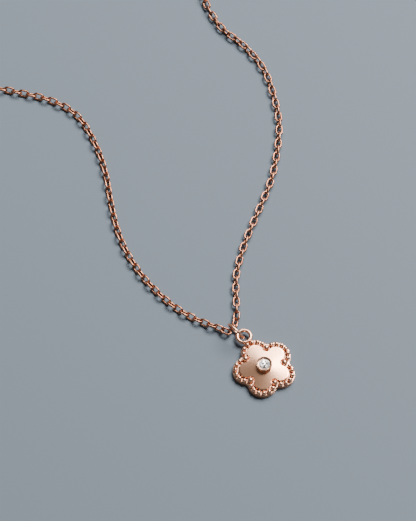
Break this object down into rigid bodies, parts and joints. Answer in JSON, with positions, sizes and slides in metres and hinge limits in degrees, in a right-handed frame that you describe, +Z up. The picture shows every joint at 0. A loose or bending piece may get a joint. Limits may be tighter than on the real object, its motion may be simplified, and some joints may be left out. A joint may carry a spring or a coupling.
{
  "type": "flower pendant on a cable chain",
  "caption": "Rose-gold necklace with a five-petalled flower pendant: beaded border, satin cone-shaped face, round stone in a raised setting, jump ring, fine cable chain and barrel clasp.",
  "frame": {"origin": "centre of the flower's flat back, which lies on the table", "axes": "+Z up from the table, through the stone's table; +Y from the flower towards the chain and the clasp; +X to the right of someone who looks along +Y"},
  "size_m": [0.1219, 0.181, 0.0052],
  "materials": {
    "rose_gold": "polished",
    "satin_rose_gold": "satin, fine grain",
    "stone": "cut and polished"
  },
  "bodies": {
    "root": {"flower_frame": "rose_gold", "face_plate": "satin_rose_gold", "stone": "stone", "jump_ring": "rose_gold", "chain_left": "rose_gold", "chain_right": "rose_gold", "clasp": "rose_gold"}
  },
  "joints": []
}
